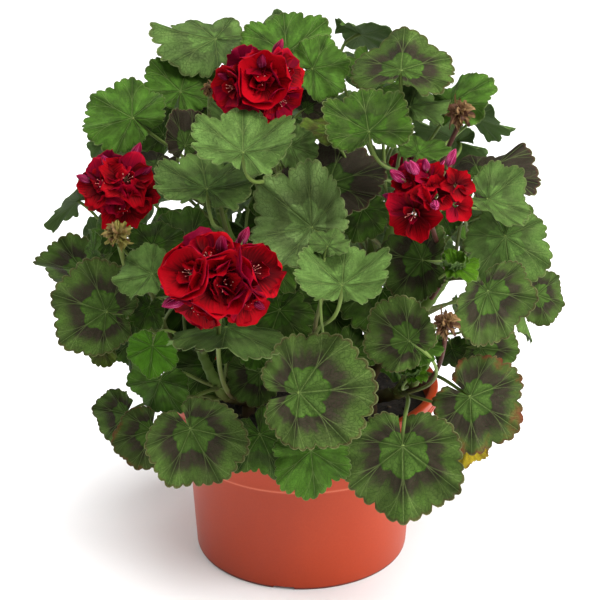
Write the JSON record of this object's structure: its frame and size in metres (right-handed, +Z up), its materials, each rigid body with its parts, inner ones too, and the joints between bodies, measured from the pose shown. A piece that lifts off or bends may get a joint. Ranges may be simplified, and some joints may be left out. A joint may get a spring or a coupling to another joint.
{
  "type": "potted zonal geranium",
  "caption": "Zonal geranium in bloom in a round terracotta plastic pot: a dome of scalloped, ringed leaves on branched stems, with heads of red double flowers and dried seed heads.",
  "frame": {"origin": "middle of the pot's flat underside, on the ground", "axes": "+Z up along the pot's axis; -Y is the side that the picture shows; +X to the right in the picture"},
  "size_m": [0.344, 0.3361, 0.3754],
  "materials": {
    "pot": "satin",
    "soil": "matte",
    "foliage": "matte",
    "petals": "matte",
    "dry_heads": "matte"
  },
  "bodies": {
    "root": {"pot": "pot", "soil": "soil", "stem_top_left": "foliage", "stem_top": "foliage", "stem_top_right": "foliage", "stem_right": "foliage", "stem_low_right": "foliage", "stem_front": "foliage", "stem_front_left": "foliage", "stem_left": "foliage", "stem_back_left": "foliage", "stem_back_right": "foliage", "bloom_top": "petals", "bloom_left": "petals", "bloom_front": "petals", "bloom_right": "petals", "bloom_back_left": "petals", "bloom_back_right": "petals", "spent_head_top": "dry_heads", "spent_head_left": "dry_heads", "spent_head_low": "dry_heads", "spent_head_small": "dry_heads"}
  },
  "joints": []
}
